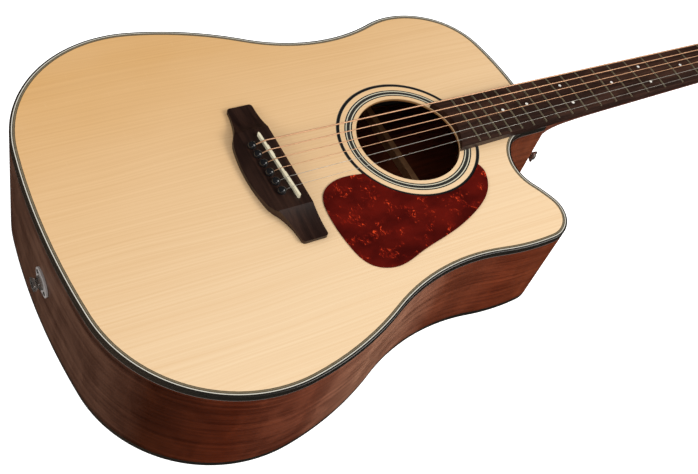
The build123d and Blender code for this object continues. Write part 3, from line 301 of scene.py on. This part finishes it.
# ---------------------------------------------------------------- plastics, metals, trim
def moulded(name, colour, roughness, grain=0.15, coat=0.0):
    """Plastic with a faint mould texture and slightly uneven shade."""
    s = Shader(name)
    place = s.luthier()
    shade = s.noise(place, 90.0, 3.0)
    fine = s.noise(place, 2600.0, 2.0, 0.6)
    tone = s.blend(s.spread(shade, 0.3, 0.7), colour, tuple(c * 1.25 for c in colour))
    s.bump(fine, grain, 0.00006)
    rough = s.spread(shade, 0.3, 0.7, roughness * 0.85, roughness * 1.15)
    return s.finish(tone, rough, coat=coat)


def metal(name, colour, roughness, brushed=(900.0, 900.0, 900.0), metallic=1.0):
    """Metal with small wear marks; brushed gives how fine the scratches are along each axis."""
    s = Shader(name)
    place = s.luthier()
    scratch = s.noise(s.scaled(place, brushed), 1.0, 4.0, 0.6)
    haze = s.noise(place, 160.0, 3.0)
    tone = s.blend(s.spread(haze, 0.35, 0.7, 0.0, 0.25), colour, tuple(c * 0.72 for c in colour))
    rough = s.spread(scratch, 0.3, 0.75, roughness * 0.6, roughness * 1.6)
    s.bump(scratch, 0.06, 0.00004)
    return s.finish(tone, rough, metallic=metallic)


WINDING_PITCH = 0.26                                     # mm from one turn of the winding to the next


def wound_wire():
    """Bronze winding: fine turns along the string."""
    s = Shader("wound_wire")
    place = s.luthier()
    x = s.parts(place)[0]
    turns = s.math("SINE", s.math("MULTIPLY", x, 2 * pi / (WINDING_PITCH * MM)))
    tone = s.blend(s.spread(s.noise(place, 260.0), 0.3, 0.7), (0.74, 0.43, 0.26), (0.62, 0.33, 0.18))
    s.bump(turns, 0.15, 0.00003)
    return s.finish(tone, 0.40, metallic=0.6)


def tortoise():
    """Deep red plate with scattered bright flecks and short streaks below a clear surface."""
    s = Shader("tortoise")
    place = s.luthier()
    x, y, z = s.parts(place)
    warp = s.noise(s.scaled(place, (60.0, 60.0, 10.0)), 1.0, 2.0)
    bent = s.joined(s.math("ADD", x, s.math("MULTIPLY", warp, 0.012)), y, 0.0)
    cloud = s.noise(s.scaled(bent, (30.0, 40.0, 1.0)), 1.0, 3.0, 0.5)
    group = s.noise(s.scaled(bent, (75.0, 95.0, 1.0)), 1.0, 2.0, 0.5, 0.5)
    fleck = s.noise(s.scaled(bent, (300.0, 170.0, 1.0)), 1.0, 3.0, 0.55, 1.4)
    deep = s.blend(s.spread(cloud, 0.35, 0.65), (0.046, 0.0012, 0.0004), (0.105, 0.0034, 0.0008))
    near = s.spread(group, 0.51, 0.66)
    glow = s.math("MULTIPLY", near, s.spread(fleck, 0.46, 0.62, 0.0, 0.8))
    tone = s.blend(glow, deep, (0.22, 0.007, 0.001))
    bright = s.math("MULTIPLY", near, s.spread(fleck, 0.60, 0.69))
    tone = s.blend(bright, tone, (0.86, 0.075, 0.015))
    return s.finish(tone, 0.40, coat=0.06, coat_roughness=0.1, specular=0.08)


def pearl():
    """Shell of the position markers."""
    s = Shader("pearl")
    place = s.luthier()
    sheen = s.noise(s.scaled(place, (500.0, 300.0, 200.0)), 1.0, 3.0, 0.6, 1.0)
    stops = [(0.0, (0.62, 0.66, 0.60)), (0.5, (0.82, 0.80, 0.72)), (1.0, (0.78, 0.70, 0.74))]
    tone = s.ramp(s.spread(sheen, 0.3, 0.7), stops)
    return s.finish(tone, 0.22, coat=0.5)


def bone():
    """Aged ivory-coloured bone of nut and saddle."""
    s = Shader("bone")
    place = s.luthier()
    vein = s.noise(s.scaled(place, (300.0, 60.0, 300.0)), 1.0, 4.0)
    tone = s.blend(s.spread(vein, 0.3, 0.7), (0.74, 0.68, 0.50), (0.62, 0.55, 0.38))
    return s.finish(tone, 0.38, coat=0.2)


WHITE = (0.62, 0.58, 0.44)
GREY = (0.15, 0.14, 0.11)
CHECK = (0.045, 0.044, 0.038)
BLACK = (0.010, 0.010, 0.010)
TAN = (0.74, 0.54, 0.32)
# Where each band of the rosette starts, in mm outside the rim of the sound hole.
ROSETTE_BANDS = [(3.9, BLACK), (5.05, WHITE), (6.0, CHECK), (9.0, WHITE), (10.0, BLACK), (11.2, TAN),
                 (15.9, GREY), (16.2, BLACK), (18.9, GREY)]
CHECKS_FROM = 6.4
CHECKS_TO = 8.6
CHECKS_ROUND = 230.0


def rosette_rings():
    """Bands of the rosette by their distance from the hole's rim."""
    s = Shader("rosette_rings")
    place = s.luthier()
    flat = s.shifted(s.scaled(place, (1.0, 1.0, 0.0)), (-HOLE_X * MM, 0, 0))
    x, y, z = s.parts(flat)
    out = s.length(flat)
    reach = 20.0
    stops = [(start / reach, colour) for start, colour in ROSETTE_BANDS]
    tone = s.ramp(s.spread(out, HOLE_R * MM, (HOLE_R + reach) * MM), stops, "CONSTANT")
    turn = s.math("ARCTAN2", y, x)
    checks = s.math("GREATER_THAN", s.math("SINE", s.math("MULTIPLY", turn, CHECKS_ROUND)), 0.0)
    past = s.math("GREATER_THAN", out, (HOLE_R + CHECKS_FROM) * MM)
    short = s.math("LESS_THAN", out, (HOLE_R + CHECKS_TO) * MM)
    tone = s.blend(s.math("MULTIPLY", checks, s.math("MULTIPLY", past, short)), tone, BLACK)
    return s.finish(tone, 0.4, coat=0.25, coat_roughness=0.15, specular=0.3)


def line_material(name, colour):
    """Dyed fibre strip, slightly uneven."""
    s = Shader(name)
    place = s.luthier()
    uneven = s.noise(s.scaled(place, (240.0, 240.0, 60.0)), 1.0, 3.0)
    tone = s.blend(s.spread(uneven, 0.3, 0.7), colour, tuple(c * 0.86 for c in colour))
    return s.finish(tone, 0.3, coat=0.5, coat_roughness=0.1)


# ---------------------------------------------------------------- outline geometry
def run_arcs(arcs, inset, mirror):
    """Points along one side of the body, pulled in by the inset, in the luthier's frame."""
    x, y = TAIL_X, 0.0
    course = pi / 2
    points = []
    for radius, turn in arcs:
        side = 1 if turn > 0 else -1
        cx = x - side * radius * sin(course)
        cy = y + side * radius * cos(course)
        first = atan2(y - cy, x - cx)
        swept = radians(turn)
        steps = max(2, int(radius * abs(swept) / ARC_STEP))
        drawn = radius + side * inset
        for step in range(steps):
            angle = first + swept * step / steps
            points.append((cx + drawn * cos(angle), mirror * (cy + drawn * sin(angle))))
        x = cx + radius * cos(first + swept)
        y = cy + radius * sin(first + swept)
        course += swept
    last = first + swept
    points.append((cx + drawn * cos(last), mirror * (cy + drawn * sin(last))))
    return points


def outline(inset):
    """Closed loop round the body."""
    bass = run_arcs(BASS_OUTLINE, inset, 1)
    treble = run_arcs(TREBLE_OUTLINE, inset, -1)
    corner = (bass[-1][0], treble[-1][1])
    closing = []
    for start, end in ((bass[-1], corner), (corner, treble[-1])):
        for step in range(1, CORNER_STEPS + 1):
            part = step / CORNER_STEPS
            closing.append((start[0] + (end[0] - start[0]) * part, start[1] + (end[1] - start[1]) * part))
    back = list(reversed(treble))[1:-1]
    return bass + closing + back


def mesh_piece(name, points, faces, material):
    """New mesh from points in the luthier's frame, in mm."""
    mesh = bpy.data.meshes.new(name)
    mesh.from_pydata([TO_ROW @ (Vector(p) * MM) for p in points], [], faces)
    mesh.validate()
    piece = bpy.data.objects.new(name, mesh)
    bpy.context.scene.collection.objects.link(piece)
    mesh.materials.append(material)
    work = bmesh.new()
    work.from_mesh(mesh)
    bmesh.ops.recalc_face_normals(work, faces=work.faces)
    work.to_mesh(mesh)
    work.free()
    soften(piece)
    return piece


def soften(piece):
    """Smooth shading with sharp edges kept where faces meet at more than the smoothed angle."""
    for face in piece.data.polygons:
        face.use_smooth = True
    bpy.context.view_layer.objects.active = piece
    with bpy.context.temp_override(object=piece, active_object=piece, selected_objects=[piece],
                                   selected_editable_objects=[piece]):
        bpy.ops.object.shade_smooth_by_angle(angle=radians(SMOOTH_UP_TO))


def band(name, profile, material, to_back=False):
    """Carry a closed profile of (inset, height) round the body's outline."""
    rings = []
    for inset, height in profile:
        ring = []
        for x, y in outline(inset):
            z = height - (DEPTH_SADDLE / MM - BACK_SLOPE * x) if to_back else height
            ring.append((x, y, z))
        rings.append(ring)
    count = len(rings[0])
    points = [point for ring in rings for point in ring]
    faces = []
    for row in range(len(rings)):
        following = (row + 1) % len(rings)
        for index in range(count):
            after = (index + 1) % count
            near = (row * count + index, row * count + after)
            far = (following * count + after, following * count + index)
            faces.append(near + far)
    piece = mesh_piece(name, points, faces, material)
    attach(piece, "guitar")
    return piece


LINE_DEEP = 0.7
BAND_LINES = [(1.8, 2.6, "white"), (2.6, 3.35, "black"), (3.35, 3.65, "grey"), (3.65, 4.05, "black"),
              (4.05, 4.35, "grey"), (4.35, 4.9, "black")]


def purfling_lines():
    """Fine lines let into the soundboard's edge, each its own piece."""
    colours = {"white": line_material("line_white", (0.68, 0.65, 0.56)),
               "black": line_material("line_black", (0.050, 0.038, 0.024)),
               "grey": line_material("line_grey", (0.34, 0.27, 0.16))}
    for number, (near, far, colour) in enumerate(BAND_LINES):
        profile = [(near, 0.0), (far, 0.0), (far, -LINE_DEEP), (near, -LINE_DEEP)]
        band("purfling_line_" + str(number + 1), profile, colours[colour])
    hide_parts("top_purfling")


def binding_plastic():
    """Black binding, brown-black round the tail."""
    s = Shader("binding_plastic")
    place = s.luthier()
    uneven = s.spread(s.noise(place, 90.0), 0.3, 0.7)
    black = s.blend(uneven, (0.011, 0.009, 0.007), (0.014, 0.012, 0.009))
    # Brown-black towards the tail, set by place along the body.
    tone = s.blend(s.spread(s.parts(place)[0], -0.20, -0.15), (0.024, 0.017, 0.011), black)
    return s.finish(tone, 0.34, coat=0.08, coat_roughness=0.1)


def bindings():
    """Binding strips of top and back, with the outer corner rounded over."""
    black = binding_plastic()
    top = [(BINDING_WIDE, 0.0), (0.9, 0.0), (0.45, -0.08), (0.15, -0.3), (0.02, -0.75), (0.0, -1.4),
           (0.0, -BINDING_HIGH), (BINDING_WIDE, -BINDING_HIGH)]
    upper = band("top_binding_rounded", top, black)
    bottom = [(inset, -height) for inset, height in top]
    lower = band("back_binding_rounded", bottom, black, to_back=True)
    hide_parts("top_binding")
    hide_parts("back_binding")


# ---------------------------------------------------------------- dress the CAD pieces
def dress():
    """Give every carried-over CAD node its finish."""
    nickel = metal("nickel", (0.80, 0.79, 0.77), 0.14)
    fitting = metal("fitting_nickel", (0.40, 0.36, 0.33), 0.22, metallic=0.85)
    inner = pale_wood("inner_wood", (0.50, 0.34, 0.20), (0.34, 0.21, 0.12))
    braces = pale_wood("brace_wood", (0.56, 0.29, 0.13), (0.38, 0.17, 0.07))
    braid = metal("shield_braid", (0.5, 0.48, 0.44), 0.4, (1500.0, 1500.0, 1500.0))
    satin = metal("satin_nickel", (0.50, 0.46, 0.44), 0.5, (700.0, 700.0, 200.0), 0.5)
    finishes = {
        "soundboard": spruce_top(),
        "back_plate": mahogany_back(),
        "side": mahogany_side(),
        "neck_block": inner, "tail_block": inner,
        "top_lining": inner, "back_lining": inner, "bridge_plate": inner,
        "x_brace": braces, "top_braces": braces, "back_braces": braces, "back_strip": braces,
        "rosette": rosette_rings(),
        "bridge_pins": moulded("pin_black", (0.008, 0.008, 0.009), 0.22, 0.02, coat=0.3),
        "bridge": bridge_wood(),
        "saddle_pickup": braid,
        "saddle": bone(),
        "pickguard": tortoise(),
        "jack": fitting, "jack_plate": satin,
        "wood_screws": fitting, "heel_button": fitting,
        "tuner_bushings": nickel, "tuner_housings": nickel, "tuner_key": nickel, "tuner_post": nickel,
        "heel_cap": moulded("cap_black", (0.012, 0.012, 0.013), 0.25, 0.03, coat=0.4),
        "neck": neck_wood(),
        "headstock_veneer": board_wood(),
        "fretboard": board_wood(),
        "frets": metal("fret_wire", (0.62, 0.53, 0.36), 0.34, (900.0, 60.0, 900.0), 0.85),
        "fret_markers": pearl(),
        "nut": bone(),
        "truss_rod": metal("rod_steel", (0.5, 0.5, 0.5), 0.4),
        "truss_nut": metal("nut_brass", (0.78, 0.58, 0.28), 0.25),
        "strings_wound": wound_wire(),
        "strings_plain": metal("plain_wire", (0.50, 0.47, 0.42), 0.42, (40.0, 2500.0, 2500.0), 0.6),
        "preamp_panel": moulded("panel_black", (0.020, 0.020, 0.022), 0.42, 0.5),
        "battery_door": moulded("door_black", (0.022, 0.022, 0.024), 0.40, 0.5),
        "preamp_case": moulded("case_black", (0.030, 0.030, 0.032), 0.5, 0.4),
        "battery": metal("battery_shell", (0.10, 0.10, 0.12), 0.35),
        "slider": moulded("slider_grey", (0.10, 0.10, 0.11), 0.36, 0.2),
        "tuner_button": moulded("button_grey", (0.12, 0.12, 0.13), 0.34, 0.2),
    }
    shown = {name: piece for name, piece in nodes.items() if not piece.hide_render}
    for name, piece in shown.items():
        best = max((key for key in finishes if name.startswith(key)), key=len)
        piece.data.materials.clear()
        piece.data.materials.append(finishes[best])
        for face in piece.data.polygons:
            face.material_index = 0


# ---------------------------------------------------------------- stage
FLOOR_GLOW = 0.75
WORLD_GLOW = 0.72


def stage():
    """Pale floor under the back and soft even light, neither of them mirrored in the lacquer."""
    s = Shader("studio_floor")
    shade = s.noise(s.node("ShaderNodeTexCoord").outputs["Object"], 3.0)
    tone = s.blend(s.spread(shade, 0.3, 0.7), (0.93, 0.93, 0.93), (0.95, 0.95, 0.95))
    s.finish(tone, 0.8)
    s.surface.inputs["Emission Color"].default_value = (1, 1, 1, 1)
    s.surface.inputs["Emission Strength"].default_value = FLOOR_GLOW
    far = 12.0
    below = -0.5 * MM
    mesh = bpy.data.meshes.new("studio_floor")
    corners = [(-far, -far, below), (far, -far, below), (far, far, below), (-far, far, below)]
    mesh.from_pydata(corners, [], [(0, 1, 2, 3)])
    mesh.materials.append(s.material)
    floor = bpy.data.objects.new("studio_floor", mesh)
    bpy.context.scene.collection.objects.link(floor)
    floor.visible_glossy = False

    world = bpy.data.worlds.new("studio")
    bpy.context.scene.world = world
    world.use_nodes = True
    background = world.node_tree.nodes["Background"]
    background.inputs["Color"].default_value = (1.0, 1.0, 1.0, 1.0)
    background.inputs["Strength"].default_value = WORLD_GLOW
    world.cycles_visibility.glossy = False
    bpy.context.scene.view_settings.view_transform = "Standard"


def area_light(name, place, target, width, height, power, colour=(1.0, 1.0, 1.0), mirrored=True):
    """Softbox aimed at a point; an unmirrored one lights the lacquer without a glare in it."""
    light = bpy.data.lights.new(name, "AREA")
    light.shape = "RECTANGLE"
    light.size = width
    light.size_y = height
    light.energy = power
    light.color = colour
    lamp = bpy.data.objects.new(name, light)
    bpy.context.scene.collection.objects.link(lamp)
    way = Vector(target) - Vector(place)
    lamp.matrix_world = Matrix.Translation(place) @ way.to_track_quat("-Z", "Y").to_matrix().to_4x4()
    lamp.visible_glossy = mirrored


def lights():
    area_light("key_softbox", (1.3, -1.1, 1.3), (0.05, 0.0, 0.1), 1.1, 0.9, 27.0, (1.0, 0.97, 0.92))
    area_light("tail_softbox", (-1.5, 0.3, 0.7), (-0.1, 0.0, 0.05), 0.8, 0.5, 9.0, mirrored=False)
    area_light("front_softbox", (-0.3, -1.7, 0.8), (0.0, 0.0, 0.05), 1.2, 0.4, 3.0)


def camera():
    """Camera of the view from the tail on the treble side, given in the luthier's frame."""
    place = Vector((-378.9, -472.6, 681.4)) * MM
    ahead = Vector((0.45852, 0.44029, -0.77195)).normalized()
    right = Vector((0.85114, -0.46738, 0.23898))
    right = (right - ahead * right.dot(ahead)).normalized()
    up = right.cross(ahead)
    turn = Matrix((right, up, -ahead)).transposed().to_4x4()
    lens_mm = 53.11
    data = bpy.data.cameras.new("camera")
    data.sensor_width = 36.0
    data.lens = lens_mm
    data.clip_start = 0.02
    data.clip_end = 60.0
    made = bpy.data.objects.new("camera", data)
    bpy.context.scene.collection.objects.link(made)
    made.matrix_world = TO_ROW @ Matrix.Translation(place) @ turn
    bpy.context.scene.camera = made


camera()
stage()
lights()
purfling_lines()
bindings()
dress()
